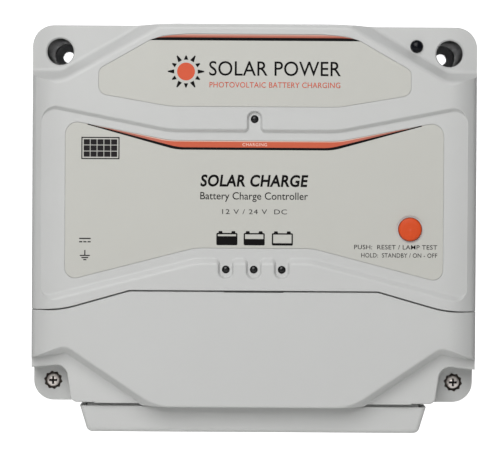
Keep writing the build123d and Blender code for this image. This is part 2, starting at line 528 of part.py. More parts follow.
# ------------------------------------------------------------------ power parts
TOROIDS = [(-52.0, 22.0), (-52.0, -20.0)]
cores, coils = [], []
for x, z in TOROIDS:
    core = cyl_y(x, z, 17.5, -46.5, -32.0) - cyl_y(x, z, 9.0, -47, -30)
    skin = (cyl_y(x, z, 19.0, -48.0, -30.5) - cyl_y(x, z, 7.5, -49, -29)) - core
    for k in range(24):
        a = 2 * pi * k / 24
        slot = Solid.make_box(20, 30, 1.0, Plane(origin=(x, -55, z - 0.0), x_dir=(cos(a), 0, sin(a)),
                                                 z_dir=(-sin(a), 0, cos(a))))
        if k in (5, 6, 7):
            skin = skin - slot
    coil = sorted(skin.solids(), key=lambda s: -s.volume)[0]
    cores.append(core)
    coils.append(coil)
save("inductor_cores", cores)
save("inductor_windings", coils)

CAPS = [(2.0, 50.0), (21.0, 50.0), (40.0, 50.0), (2.0, 30.0), (21.0, 30.0), (40.0, 30.0)]
save("capacitors", [turned(x, z, [(0, -51.3), (6.6, -51.3), (7.6, -51.0), (8.0, -50.2), (8.0, -33.4), (7.5, -32.9),
                                  (8.0, -32.4), (8.0, -30.4), (7.4, PCB_Y), (0, PCB_Y)]) for x, z in CAPS])

FETS = (-30.0, -10.0, 10.0, 30.0)
fets, pads = [], []
for x in FETS:
    f = box(x - 5, x + 5, -23.0, -18.5, -7.5, 1.6) + box(x - 5, x + 5, -19.8, -18.5, 1.5, 8.0)
    for k in (-1, 0, 1):
        f = f + box(x + 2.54 * k - 0.4, x + 2.54 * k + 0.4, -21.2, -20.6, -10.5, -7.0)
        f = f + box(x + 2.54 * k - 0.4, x + 2.54 * k + 0.4, PCB_BACK_Y, -20.6, -10.5, -9.9)
    fets.append(one(f))
    pads.append(box(x - 5.5, x + 5.5, -18.5, RIM_Y, -8.0, 8.5))
save("mosfets", fets)
save("thermal_pads", pads)
bar = box(-38, 38, -24.5, -23.0, -4.0, 4.0)
for cx in CLAMP_X:
    bar = bar - cyl_y(cx, 2.0, 1.6, -30, -20)
save("mosfet_clamp", one(bar))
save("clamp_screws", [pan_screw(cx, 2.0, 1.9 + 0.6, -26.6, -24.5, 1.45, -15.2, cross=2.8) for cx in CLAMP_X])
save("control_chips", [box(14, 26, PCB_Y - 1.4, PCB_Y, -16, -4), box(-6, 2, PCB_Y - 1.5, PCB_Y, -14, -9),
                       box(36, 41, PCB_Y - 1.5, PCB_Y, -20, -14), box(-20, -15, PCB_Y - 1.2, PCB_Y, 10, 14)])

# ------------------------------------------------------------------ power terminal block, rising cage clamps
POWER_X = [POWER_PITCH * (k - 2.5) for k in range(6)]
block = box(-42.0, 42.0, -52.0, PCB_Y, -76.0, -54.0)
for x in POWER_X:
    block = block - box(x - 5.2, x + 5.2, -48.2, -30.6, -71.0, -60.5)      # cage shaft
    block = block - box(x - 3.6, x + 3.6, -40.4 + 1.6, -32.8, -80.0, -70.5)   # wire mouth
    block = block - cyl_y(x, -65.75, 3.5, -55.0, -49.7)
    block = block - cyl_y(x, -65.75, 2.3, -50.0, -47.0)
    block = block - box(x - 2.6, x + 2.6, -40.55, -38.95, -74.0, -56.0)      # tongue slot
save("power_terminal_block", one(block))
save("terminal_tongues", [one(box(x - 2.5, x + 2.5, -40.5, -39.0, -73.0, -57.0)) for x in POWER_X])
for k, x in enumerate(POWER_X):
    cage = box(x - 5.0, x + 5.0, -43.4, -31.2, -70.5, -61.0)
    cage = cage - box(x - 3.8, x + 3.8, -41.2, -33.0, -75.0, -55.0)
    cage = cage - cyl_y(x, -65.75, 2.06, -50.0, -40.0)
    save(f"terminal_cage_{k + 1}", one(cage))
    save(f"terminal_screw_{k + 1}", one(turned(x, -65.75, [
        (0, -51.7), (2.9, -51.7), (3.2, -51.4), (3.2, -49.9), (2.0, -49.9), (2.0, -40.9), (1.7, -40.6), (0, -40.6)])
        - box(x - 5, x + 5, -52.5, -50.7, -66.2, -65.3)))

# ------------------------------------------------------------------ sense terminals, data jack, setting switches
SENSE_X = [59.0 + SENSE_PITCH * (k - 1.5) for k in range(4)]
sense = box(48.4, 69.6, -39.6, PCB_Y, -75.0, -64.0)
for x in SENSE_X:
    sense = sense - cyl_y(x, -69.0, 2.0, -45.0, -38.2)
    sense = sense - cyl_y(x, -69.0, 1.35, -39.0, -32.0)
    sense = sense - box(x - 1.3, x + 1.3, -34.9, -32.0, -80.0, -67.0)
save("sense_terminal_block", one(sense))
for k, x in enumerate(SENSE_X):
    save(f"sense_screw_{k + 1}", one(turned(x, -69.0, [
        (0, -39.5), (1.6, -39.5), (1.8, -39.3), (1.8, -38.3), (1.25, -38.3), (1.25, -35.0), (0, -35.0)])
        - box(x - 3, x + 3, -40.0, -39.0, -69.25, -68.75)))
jack = box(-68.6, -55.4, -41.6, PCB_Y, -76.0, -58.0) - box(-66.9, -57.1, -39.0, -32.2, -80.0, -65.5)
jack = jack - box(-64.0, -60.0, -40.4, -38.0, -80.0, -65.5)
save("data_jack", one(jack))

dip = box(52.4, 63.6, PCB_Y - 3.6, PCB_Y, -59.2, -52.8)
DIP_X = [58.0 + DIP_PITCH * (k - 1.5) for k in range(4)]
for x in DIP_X:
    dip = dip - box(x - 0.75, x + 0.75, PCB_Y - 5.0, PCB_Y - 1.2, -57.5, -54.5)
save("dip_switch", one(dip))
for k, x in enumerate(DIP_X):
    save(f"dip_slider_{k + 1}", box(x - 0.65, x + 0.65, PCB_Y - 4.3, PCB_Y - 1.4, -57.4, -56.0))

# ------------------------------------------------------------------ ground lug
LUG_X, LUG_Z = -84.0, -77.0
lug = box(LUG_X - 4.5, LUG_X + 4.5, -29.0, RIM_Y, LUG_Z - 4.0, LUG_Z + 4.0)
lug = lug - cyl_z(LUG_X, -22.6, 2.4, -90, -60)
lug = lug - cyl_y(LUG_X, LUG_Z, 2.06, -31.0, -24.4)
save("ground_lug", one(lug))
save("ground_screw", one(turned(LUG_X, LUG_Z, [(0, -31.4), (2.9, -31.4), (3.2, -31.0), (3.2, -29.3), (2.0, -29.3),
                                               (2.0, -25.4), (0, -25.4)])
     - box(LUG_X - 5, LUG_X + 5, -32.0, -30.4, LUG_Z - 0.45, LUG_Z + 0.45)))
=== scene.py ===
import bpy, bmesh, math
from math import sin, cos, tan, pi, hypot, atan2, radians
from mathutils import Vector, Matrix
from mathutils.geometry import tessellate_polygon


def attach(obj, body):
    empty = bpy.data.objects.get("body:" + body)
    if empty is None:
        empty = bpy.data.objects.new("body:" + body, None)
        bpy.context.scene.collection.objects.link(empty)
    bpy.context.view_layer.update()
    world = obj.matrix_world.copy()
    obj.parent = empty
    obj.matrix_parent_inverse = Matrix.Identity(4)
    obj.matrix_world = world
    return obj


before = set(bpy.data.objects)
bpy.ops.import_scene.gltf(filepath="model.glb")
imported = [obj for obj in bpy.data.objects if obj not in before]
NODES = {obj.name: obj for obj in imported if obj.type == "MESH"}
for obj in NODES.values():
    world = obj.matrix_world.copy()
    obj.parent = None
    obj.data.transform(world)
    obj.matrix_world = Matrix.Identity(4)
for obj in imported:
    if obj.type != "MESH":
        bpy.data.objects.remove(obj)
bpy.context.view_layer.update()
MM = 0.001
scene = bpy.context.scene

# ------------------------------------------------------------------ camera: long lens, a touch above the middle of the unit
cam_data = bpy.data.cameras.new("camera")
cam_data.sensor_width = 36.0
cam_data.lens = 183.9
cam_data.clip_end = 50.0
cam = bpy.data.objects.new("camera", cam_data)
scene.collection.objects.link(cam)
cam.location = (-1.95 * MM, -1217 * MM, 6.5 * MM)
cam.rotation_euler = (pi / 2 - radians(1.09), radians(-0.35), 0)
scene.camera = cam

# ------------------------------------------------------------------ studio
scene.view_settings.view_transform = "Standard"
world = bpy.data.worlds.new("studio")
scene.world = world
world.use_nodes = True
world.node_tree.nodes["Background"].inputs[0].default_value = (0.965, 0.985, 1.0, 1)
world.node_tree.nodes["Background"].inputs[1].default_value = 0.12


def area(name, loc, target, size, power, color=(1, 1, 1)):
    data = bpy.data.lights.new(name, "AREA")
    data.shape, data.size, data.size_y = "RECTANGLE", size[0], size[1]
    data.energy, data.color = power, color
    ob = bpy.data.objects.new(name, data)
    scene.collection.objects.link(ob)
    ob.location = loc
    ob.rotation_euler = (Vector(target) - Vector(loc)).to_track_quat("-Z", "Y").to_euler()
    return ob


area("key", (-0.24, -1.16, 0.74), (0, -0.05, -0.01), (1.0, 1.1), 16.2, (1.0, 0.993, 0.988))
area("rear_left", (-0.8, 1.35, 0.5), (0, 0.0, 0), (0.8, 0.9), 9.0)
area("rear_right", (0.8, 1.35, 0.5), (0, 0.0, 0), (0.8, 0.9), 9.0)
area("rear_top", (0.0, 0.75, 1.35), (0, 0.0, 0), (1.0, 0.7), 7.0)


def simple_mat(name, color, rough, emission=0.0):
    m = bpy.data.materials.new(name)
    m.use_nodes = True
    b = m.node_tree.nodes["Principled BSDF"]
    b.inputs["Base Color"].default_value = (*color, 1)
    b.inputs["Roughness"].default_value = rough
    if emission:
        b.inputs["Emission Color"].default_value = (1, 1, 1, 1)
        b.inputs["Emission Strength"].default_value = emission
    return m


def plane(name, corners, material):
    me = bpy.data.meshes.new(name)
    me.from_pydata(corners, [], [(0, 1, 2, 3)])
    me.materials.append(material)
    ob = bpy.data.objects.new(name, me)
    scene.collection.objects.link(ob)
    return ob


plane("floor", [(-1.4, -1.4, -0.33), (1.4, -1.4, -0.33), (1.4, 1.2, -0.33), (-1.4, 1.2, -0.33)],
      simple_mat("floor_paper", (0.80, 0.80, 0.79), 0.9))
plane("backdrop", [(-1.3, 3.2, -1.3), (1.3, 3.2, -1.3), (1.3, 3.2, 1.1), (-1.3, 3.2, 1.1)],
      simple_mat("backdrop_light", (0.9, 0.9, 0.9), 1.0, 1.15))


# ------------------------------------------------------------------ materials
def srgb(r, g, b):
    def lin(c):
        c /= 255
        return c / 12.92 if c <= 0.04045 else ((c + 0.055) / 1.055) ** 2.4
    return (lin(r), lin(g), lin(b))


def material(name, color, rough=0.5, metal=0.0, grain=1400.0, bump=0.05, bump_mm=0.02, vary=0.03, rough_vary=0.06,
             coat=0.0, spec=0.5, stretch=(1, 1, 1), aniso=0.0, emission=0.0):
    """Procedural surface: slow colour variation, fine grain in roughness and bump, all in object space."""
    m = bpy.data.materials.new(name)
    m.use_nodes = True
    nt = m.node_tree
    n, l = nt.nodes, nt.links
    b = n["Principled BSDF"]
    b.inputs["Metallic"].default_value = metal
    b.inputs["Specular IOR Level"].default_value = spec
    b.inputs["Coat Weight"].default_value = coat
    b.inputs["Coat Roughness"].default_value = 0.12
    if aniso:
        b.inputs["Anisotropic"].default_value = aniso
    co = n.new("ShaderNodeTexCoord")
    mp = n.new("ShaderNodeMapping")
    mp.inputs["Scale"].default_value = stretch
    l.new(co.outputs["Object"], mp.inputs["Vector"])
    slow = n.new("ShaderNodeTexNoise")
    slow.inputs["Scale"].default_value = 28.0
    slow.inputs["Detail"].default_value = 4.0
    l.new(mp.outputs["Vector"], slow.inputs["Vector"])
    fine = n.new("ShaderNodeTexNoise")
    fine.inputs["Scale"].default_value = grain
    fine.inputs["Detail"].default_value = 3.0
    fine.inputs["Roughness"].default_value = 0.6
    l.new(mp.outputs["Vector"], fine.inputs["Vector"])
    mixf = n.new("ShaderNodeMath")
    mixf.operation = "MULTIPLY_ADD"
    l.new(fine.outputs["Fac"], mixf.inputs[0])
    mixf.inputs[1].default_value = 0.35
    l.new(slow.outputs["Fac"], mixf.inputs[2])
    ramp = n.new("ShaderNodeValToRGB")
    lo = [max(c * (1 - vary), 0) for c in color]
    hi = [min(c * (1 + vary), 1) for c in color]
    ramp.color_ramp.elements[0].position = 0.42
    ramp.color_ramp.elements[1].position = 0.92
    ramp.color_ramp.elements[0].color = (*lo, 1)
    ramp.color_ramp.elements[1].color = (*hi, 1)
    l.new(mixf.outputs[0], ramp.inputs["Fac"])
    l.new(ramp.outputs["Color"], b.inputs["Base Color"])
    rr = n.new("ShaderNodeMapRange")
    rr.inputs["From Min"].default_value = 0.3
    rr.inputs["From Max"].default_value = 0.7
    rr.inputs["To Min"].default_value = max(rough - rough_vary, 0.02)
    rr.inputs["To Max"].default_value = min(rough + rough_vary, 1.0)
    l.new(fine.outputs["Fac"], rr.inputs["Value"])
    l.new(rr.outputs["Result"], b.inputs["Roughness"])
    bp = n.new("ShaderNodeBump")
    bp.inputs["Strength"].default_value = bump
    bp.inputs["Distance"].default_value = bump_mm * MM
    l.new(fine.outputs["Fac"], bp.inputs["Height"])
    l.new(bp.outputs["Normal"], b.inputs["Normal"])
    if emission:
        b.inputs["Emission Color"].default_value = (*color, 1)
        b.inputs["Emission Strength"].default_value = emission
    return m


HOUSING = material("housing_plastic", srgb(200, 201, 200), rough=0.46, grain=1500, bump=0.35, bump_mm=0.03, vary=0.012)
TRAYMAT = material("tray_plastic", srgb(199, 200, 199), rough=0.48, grain=1500, bump=0.35, bump_mm=0.03, vary=0.012)
FILM = material("label_film", srgb(197, 197, 191), rough=0.36, grain=2600, bump=0.12, bump_mm=0.01, vary=0.008, rough_vary=0.04)
ALU = material("cast_aluminium", (0.66, 0.67, 0.68), rough=0.38, metal=1.0, grain=900, bump=0.25, bump_mm=0.02, vary=0.05, rough_vary=0.1)
STEEL = material("zinc_steel", (0.60, 0.60, 0.60), rough=0.26, metal=1.0, grain=1600, bump=0.2, bump_mm=0.01, vary=0.08, rough_vary=0.1)
DARK_STEEL = material("cage_steel", (0.50, 0.50, 0.50), rough=0.34, metal=1.0, grain=1600, bump=0.2, bump_mm=0.01, vary=0.08, rough_vary=0.1)
BRASS = material("tinned_brass", (0.72, 0.58, 0.36), rough=0.3, metal=1.0, grain=1200, bump=0.15, bump_mm=0.01, vary=0.06)
COPPER = material("enamelled_copper", (0.62, 0.25, 0.10), rough=0.3, metal=1.0, grain=700, bump=0.3, bump_mm=0.05, vary=0.12, coat=0.5)
RUBBER = material("rubber_black", (0.022, 0.022, 0.022), rough=0.7, grain=1200, bump=0.3, bump_mm=0.03, vary=0.15)
BLACKP = material("black_nylon", (0.026, 0.026, 0.028), rough=0.45, grain=1300, bump=0.3, bump_mm=0.02, vary=0.15)
ORANGE = material("button_orange", (0.68, 0.075, 0.012), rough=0.42, grain=1500, bump=0.2, bump_mm=0.02, vary=0.04, spec=0.3)
SENSOR = material("sensor_epoxy", (0.003, 0.0035, 0.006), rough=0.22, grain=900, bump=0.1, bump_mm=0.01, vary=0.2, spec=0.18)
LEDM = material("led_smoke", (0.008, 0.0085, 0.009), rough=0.2, grain=900, bump=0.05, bump_mm=0.01, vary=0.2, spec=0.42)
PCBM = material("solder_mask", (0.02, 0.13, 0.055), rough=0.34, grain=260, bump=0.5, bump_mm=0.04, vary=0.35)
FERRITE = material("powder_core", (0.09, 0.12, 0.10), rough=0.5, grain=800, bump=0.3, bump_mm=0.03, vary=0.15)
CAPM = material("capacitor_sleeve", (0.015, 0.02, 0.045), rough=0.3, grain=700, bump=0.15, bump_mm=0.02, vary=0.2)
GREEN = material("terminal_green", (0.03, 0.25, 0.09), rough=0.4, grain=1000, bump=0.2, bump_mm=0.02, vary=0.1)
RED = material("dip_red", (0.45, 0.02, 0.015), rough=0.4, grain=1000, bump=0.2, bump_mm=0.02, vary=0.1)
WHITE = material("slider_white", (0.80, 0.80, 0.77), rough=0.45, grain=1000, bump=0.2, bump_mm=0.02, vary=0.04)
INK = material("print_black", (0.004, 0.0035, 0.004), rough=0.6, grain=2600, bump=0.1, bump_mm=0.005, vary=0.1, spec=0.1)
INK_GREY = material("print_grey", srgb(38, 35, 37), rough=0.6, grain=2600, bump=0.1, bump_mm=0.005, vary=0.06, spec=0.1)
INK_ORANGE = material("print_orange", srgb(214, 92, 62), rough=0.55, grain=2600, bump=0.1, bump_mm=0.005, vary=0.03, spec=0.2)
INK_PALE = material("print_pale", srgb(228, 192, 177), rough=0.5, grain=2600, bump=0.1, bump_mm=0.005, vary=0.02, spec=0.3)
INK_LIGHT = material("print_light", srgb(242, 214, 202), rough=0.5, grain=2600, bump=0.1, bump_mm=0.005, vary=0.03, spec=0.3)


def paint_hole_shade(m, colour, at=(88.0, 63.5), mirror_z=True, radius=6.75, y_from=-59.7, y_to=-8.0, cross=False):
    """Painted shade: dark colour by distance from an axis along Y, mirrored left to right, between two depths (mm),
    standing in for the shadow deep in holes and recesses.
    """
    nt = m.node_tree
    n, l = nt.nodes, nt.links
    b = n["Principled BSDF"]
    base = b.inputs["Base Color"].links[0].from_socket

    def op(kind, a, c=None, d=None, clamp=False):
        k = n.new("ShaderNodeMath")
        k.operation = kind
        k.use_clamp = clamp
        for i, v in enumerate((a, c, d)):
            if v is None:
                continue
            if isinstance(v, (int, float)):
                k.inputs[i].default_value = v
            else:
                l.new(v, k.inputs[i])
        return k.outputs[0]

    co = n.new("ShaderNodeTexCoord")
    sep = n.new("ShaderNodeSeparateXYZ")
    l.new(co.outputs["Object"], sep.inputs[0])
    dx = op("SUBTRACT", op("ABSOLUTE", sep.outputs["X"]), at[0] * MM)
    dz = op("SUBTRACT", op("ABSOLUTE", sep.outputs["Z"]) if mirror_z else sep.outputs["Z"], at[1] * MM)
    if cross:
        ax, az = op("ABSOLUTE", dx), op("ABSOLUTE", dz)
        slot = op("MULTIPLY", op("SUBTRACT", 0.54 * MM, op("MINIMUM", ax, az)), 30000.0, clamp=True)
        reach = op("MULTIPLY", op("SUBTRACT", 1.86 * MM, op("MAXIMUM", ax, az)), 30000.0, clamp=True)
        near = op("MULTIPLY", slot, reach)
    else:
        r = op("SQRT", op("ADD", op("MULTIPLY", dx, dx), op("MULTIPLY", dz, dz)))
        near = op("MULTIPLY", op("SUBTRACT", radius * MM, r), 4000.0, clamp=True)
    deep = op("MULTIPLY", op("SUBTRACT", sep.outputs["Y"], y_from * MM), 1600.0, clamp=True)
    front = op("MULTIPLY", op("SUBTRACT", y_to * MM, sep.outputs["Y"]), 2000.0, clamp=True)
    hole_shade_mask = op("MULTIPLY", op("MULTIPLY", near, deep), front)
    mix = n.new("ShaderNodeMix")
    mix.data_type = "RGBA"
    l.new(hole_shade_mask, mix.inputs["Factor"])
    l.new(base, mix.inputs[6])
    mix.inputs[7].default_value = (*colour, 1)
    l.new(mix.outputs[2], b.inputs["Base Color"])


def shade_sides(m, start=82.0, end=98.0, low=0.92):
    """Painted shade: tints the two outer edges 7 to 8 % darker, a stand-in in colour for the shade of a wider edge roll
    than the moulding has.
    """
    nt = m.node_tree
    n, l = nt.nodes, nt.links
    b = n["Principled BSDF"]
    base = b.inputs["Base Color"].links[0].from_socket
    co, sep, ab = n.new("ShaderNodeTexCoord"), n.new("ShaderNodeSeparateXYZ"), n.new("ShaderNodeMath")
    ab.operation = "ABSOLUTE"
    l.new(co.outputs["Object"], sep.inputs[0])
    l.new(sep.outputs["X"], ab.inputs[0])
    mr = n.new("ShaderNodeMapRange")
    mr.interpolation_type = "SMOOTHSTEP"
    mr.inputs["From Min"].default_value = start * MM
    mr.inputs["From Max"].default_value = end * MM
    mr.inputs["To Min"].default_value = 1.0
    mr.inputs["To Max"].default_value = low
    l.new(ab.outputs[0], mr.inputs["Value"])
    sc = n.new("ShaderNodeVectorMath")
    sc.operation = "SCALE"
    l.new(base, sc.inputs[0])
    l.new(mr.outputs["Result"], sc.inputs["Scale"])
    l.new(sc.outputs["Vector"], b.inputs["Base Color"])


HOUSING_UPPER = material("housing_plastic_upper", srgb(200, 201, 200), rough=0.46, grain=1500, bump=0.35, bump_mm=0.03, vary=0.012)
# painted shade: darker towards both outer edges, and near black deep in the mounting wells
shade_sides(HOUSING_UPPER)
paint_hole_shade(HOUSING_UPPER, (0.009, 0.007, 0.006))
BASE_ALU = material("cast_aluminium_base", (0.66, 0.67, 0.68), rough=0.38, metal=1.0, grain=900, bump=0.25, bump_mm=0.02, vary=0.05, rough_vary=0.1)
# painted shade deep in the mounting wells and where the base shows through the cover's star-shaped screw holes
paint_hole_shade(BASE_ALU, (0.012, 0.009, 0.008))
paint_hole_shade(BASE_ALU, (0.030, 0.018, 0.012), at=(91.7, -86.3), mirror_z=False, radius=4.6, y_from=-43.5, y_to=-42.35)
COVER_MAT = material("housing_plastic_cover", srgb(200, 201, 200), rough=0.46, grain=1500, bump=0.35, bump_mm=0.03, vary=0.012)
# painted shade: darker towards both outer edges, and dark in the star-shaped screw holes
shade_sides(COVER_MAT, low=0.93)
paint_hole_shade(COVER_MAT, (0.040, 0.024, 0.016), at=(91.7, -86.3), mirror_z=False, radius=4.8, y_from=-45.85, y_to=-40.0)
COVER_SCREW = material("nickel_screw", (0.90, 0.83, 0.79), rough=0.36, metal=0.65, grain=1600, bump=0.15, bump_mm=0.01, vary=0.05)
# painted shade in the cross recess of the screw heads
paint_hole_shade(COVER_SCREW, (0.018, 0.012, 0.010), at=(91.7, -86.3), mirror_z=False, y_from=-46.9, y_to=-44.0, cross=True)

ASSIGN = {
    "upper_housing": HOUSING_UPPER, "wiring_cover": COVER_MAT, "wire_tray": TRAYMAT, "upper_label": FILM, "lower_label": FILM,
    "heatsink_base": BASE_ALU, "wire_grommet": RUBBER, "charging_led": LEDM, "battery_leds": LEDM, "temperature_sensor": SENSOR,
    "main_pcb": PCBM, "front_board": PCBM, "pcb_standoffs": ALU, "pcb_screws": STEEL, "front_board_screws": STEEL,
    "board_link": BLACKP, "tact_switch": BLACKP, "inductor_cores": FERRITE, "inductor_windings": COPPER,
    "capacitors": CAPM, "mosfets": BLACKP, "thermal_pads": RUBBER, "mosfet_clamp": STEEL, "clamp_screws": STEEL,
    "control_chips": BLACKP, "housing_screws": STEEL, "tray_screws": STEEL, "power_terminal_block": BLACKP,
    "terminal_tongues": BRASS, "sense_terminal_block": GREEN, "data_jack": BLACKP, "dip_switch": RED,
    "ground_lug": BRASS, "ground_screw": STEEL, "cover_screw_left": COVER_SCREW, "cover_screw_right": COVER_SCREW,
    "push_button": ORANGE,
}
for k in range(1, 7):
    ASSIGN[f"terminal_screw_{k}"] = STEEL
    ASSIGN[f"terminal_cage_{k}"] = DARK_STEEL
for k in range(1, 5):
    ASSIGN[f"sense_screw_{k}"] = STEEL
    ASSIGN[f"dip_slider_{k}"] = WHITE
for name, ob in NODES.items():
    ob.data.materials.clear()
    ob.data.materials.append(ASSIGN[name])


# ------------------------------------------------------------------ printed graphics on the two label films
def outline(points, radii, d=0.0, seg=8):
    """Polyline of a rounded polygon, (x, z) in mm, offset outwards by d."""
    n = len(points)
    lines = []
    for i in range(n):
        (x0, z0), (x1, z1) = points[i], points[(i + 1) % n]
        length = hypot(x1 - x0, z1 - z0)
        ux, uz = (x1 - x0) / length, (z1 - z0) / length
        lines.append((x0 + uz * d, z0 - ux * d, ux, uz))
    out = []
    for i in range(n):
        ax, az, aux, auz = lines[i - 1]
        bx, bz, bux, buz = lines[i]
        cross, dot = aux * buz - auz * bux, aux * bux + auz * buz
        t = ((bx - ax) * buz - (bz - az) * bux) / cross
        cx, cz = ax + aux * t, az + auz * t
        if radii[i] <= 0:
            out.append((cx, cz))
            continue
        r = max(radii[i] + (d if cross > 0 else -d), 0.01)
        turn = atan2(cross, dot)
        half = abs(turn) / 2
        reach = r * tan(half)
        s = 1 if cross > 0 else -1
        px, pz = cx - aux * reach, cz - auz * reach
        ox, oz = px - auz * s * r, pz + aux * s * r
        a0 = atan2(pz - oz, px - ox)
        for k in range(seg + 1):
            a = a0 + turn * k / seg
            out.append((ox + r * cos(a), oz + r * sin(a)))
    return out


def ink(name, loops, y, mat, thick=0.03, body="chassis"):
    """Thin printed shape: filled loops (first outer, rest holes) at depth y mm, standing thick mm proud."""
    bm = bmesh.new()
    for group in loops:
        flat = [[Vector((x, z, 0)) for x, z in loop] for loop in group]
        pts = [p for loop in flat for p in loop]
        tris = tessellate_polygon(flat)
        front = [bm.verts.new((p.x * MM, (y - thick) * MM, p.y * MM)) for p in pts]
        back = [bm.verts.new((p.x * MM, y * MM, p.y * MM)) for p in pts]
        for a, b, c in tris:
            try:
                f = bm.faces.new((front[a], front[b], front[c]))
                g = bm.faces.new((back[c], back[b], back[a]))
            except ValueError:
                pass
        at = 0
        for loop in flat:
            m = len(loop)
            for k in range(m):
                i, j = at + k, at + (k + 1) % m
                bm.faces.new((front[i], front[j], back[j], back[i]))
            at += m
    bmesh.ops.recalc_face_normals(bm, faces=bm.faces)
    me = bpy.data.meshes.new(name)
    bm.to_mesh(me)
    bm.free()
    me.materials.append(mat)
    ob = bpy.data.objects.new(name, me)
    scene.collection.objects.link(ob)
    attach(ob, body)
    return ob


def text(name, words, x0, x1, z0, z1, y, mat, weight=0.0, thick=0.03, spacing=1.0, align="fill", shear=0.0):
    """Lettering as a mesh that fills the given box, (x, z) mm."""
    cu = bpy.data.curves.new(name, "FONT")
    cu.body = words
    cu.size = 1.0
    cu.space_character = spacing
    cu.offset = weight
    cu.shear = shear
    cu.resolution_u = 4
    tmp = bpy.data.objects.new(name + "_tmp", cu)
    scene.collection.objects.link(tmp)
    bpy.context.view_layer.update()
    me = bpy.data.meshes.new_from_object(tmp.evaluated_get(bpy.context.evaluated_depsgraph_get()))
    bpy.data.objects.remove(tmp)
    xs = [v.co.x for v in me.vertices]
    ys = [v.co.y for v in me.vertices]
    w, h = max(xs) - min(xs), max(ys) - min(ys)
    sx, sz = (x1 - x0) / w, (z1 - z0) / h
    if align != "fill":
        sx = sz
    for v in me.vertices:
        px = (v.co.x - min(xs)) * sx
        if align == "right":
            px += (x1 - x0) - w * sx
        if align == "centre":
            px += ((x1 - x0) - w * sx) / 2
        v.co = ((x0 + px) * MM, y * MM, (z0 + (v.co.y - min(ys)) * sz) * MM)
    bm = bmesh.new()
    bm.from_mesh(me)
    bmesh.ops.remove_doubles(bm, verts=bm.verts, dist=0.000004)
    bmesh.ops.dissolve_degenerate(bm, dist=0.000002, edges=bm.edges)
    bmesh.ops.recalc_face_normals(bm, faces=bm.faces)
    ext = bmesh.ops.extrude_face_region(bm, geom=bm.faces[:])
    moved = [g for g in ext["geom"] if isinstance(g, bmesh.types.BMVert)]
    bmesh.ops.translate(bm, verts=moved, vec=(0, -thick * MM, 0))
    bmesh.ops.recalc_face_normals(bm, faces=bm.faces)
    bm.to_mesh(me)
    bm.free()
    me.name = name
    me.materials.clear()
    me.materials.append(mat)
    ob = bpy.data.objects.new(name, me)
    scene.collection.objects.link(ob)
    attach(ob, "chassis")
    return ob


def circle(cx, cz, r, n=32, start=0.0):
    return [(cx + r * cos(start + 2 * pi * k / n), cz + r * sin(start + 2 * pi * k / n)) for k in range(n)]


def rect(x0, x1, z0, z1):
    return [(x0, z0), (x1, z0), (x1, z1), (x0, z1)]


UY = -67.8      # printed face of the upper film
LY = -66.0      # printed face of the lower film


def bezier(p0, p1, p2, p3, n=10):
    out = []
    for k in range(n + 1):
        t = k / n
        u = 1 - t
        out.append(tuple(u**3 * a + 3 * u * u * t * b + 3 * u * t * t * c + t**3 * d for a, b, c, d in zip(p0, p1, p2, p3)))
    return out


# upper stripe: a lens with a dark lower line and a fading orange field above it
up_low = [(-47.2, 68.62), (47.2, 68.62)]
lens_top = [(47.2, 68.70)] + bezier((47.2, 68.72), (42.0, 70.55), (38.0, 71.05), (29.0, 71.38), 10)[1:] \
    + bezier((-29.0, 71.38), (-38.0, 71.05), (-42.0, 70.55), (-47.2, 68.72), 10)
lens = [(-47.2, 68.62), (47.2, 68.62)] + lens_top[1:]
fade = material("print_orange_fade", srgb(190, 108, 88), rough=0.55, grain=2600, bump=0.1, bump_mm=0.005, vary=0.02, spec=0.2)
nt = fade.node_tree
b = nt.nodes["Principled BSDF"]
geo = nt.nodes.new("ShaderNodeTexCoord")
sep = nt.nodes.new("ShaderNodeSeparateXYZ")
rng = nt.nodes.new("ShaderNodeMapRange")
rng.inputs["From Min"].default_value = 69.6 * MM
rng.inputs["From Max"].default_value = 71.4 * MM
ramp = nt.nodes.new("ShaderNodeValToRGB")
ramp.color_ramp.elements[0].color = (*srgb(168, 84, 66), 1)
ramp.color_ramp.elements[1].color = (*srgb(214, 168, 156), 1)
mid = ramp.color_ramp.elements.new(0.45)
mid.color = (*srgb(182, 104, 86), 1)
nt.links.new(geo.outputs["Object"], sep.inputs[0])
nt.links.new(sep.outputs["Z"], rng.inputs["Value"])
nt.links.new(rng.outputs["Result"], ramp.inputs["Fac"])
nt.links.new(ramp.outputs["Color"], b.inputs["Base Color"])
ink("stripe_upper_orange", [[lens]], UY, fade, thick=0.02)
line_top = [(47.2, 68.66)] + bezier((47.2, 68.74), (44.6, 69.75), (43.0, 69.92), (38.0, 69.95), 8)[1:] \
    + bezier((-38.0, 69.95), (-43.0, 69.92), (-44.6, 69.75), (-47.2, 68.74), 8)
ink("stripe_upper_black", [[[(-47.2, 68.60), (47.2, 68.60)] + line_top[1:]]], UY - 0.02, INK, thick=0.02)

# lower stripe: orange along the label's upper edge with a dark line under it, running out to two tips
edge_top = outline([(-77.5, 31.35), (-75.6, 30.6), (-70.0, 10.0), (70.0, 10.0), (75.6, 30.6), (77.5, 31.35), (38.3, 23.6), (-38.3, 23.6)],
                   [0, 0, 0, 0, 0, 0, 40, 40], 0.0, 14)
top_r = [p for p in edge_top if p[1] > 22 and p[0] > 0 and p[0] < 75.0]
top_r = sorted(top_r)
band_low = outline([(-75.2, 30.5), (-35.4, 19.5), (35.4, 19.5), (75.2, 30.5), (75.2, 60), (-75.2, 60)], [0, 26, 26, 0, 0, 0], 0.0, 14)
low_line = sorted([p for p in band_low if p[1] < 40])
line_up = outline([(-75.2, 30.92), (-34.4, 20.6), (34.4, 20.6), (75.2, 30.92), (75.2, 60), (-75.2, 60)], [0, 26, 26, 0, 0, 0], 0.0, 14)
mid_line = sorted([p for p in line_up if p[1] < 40])
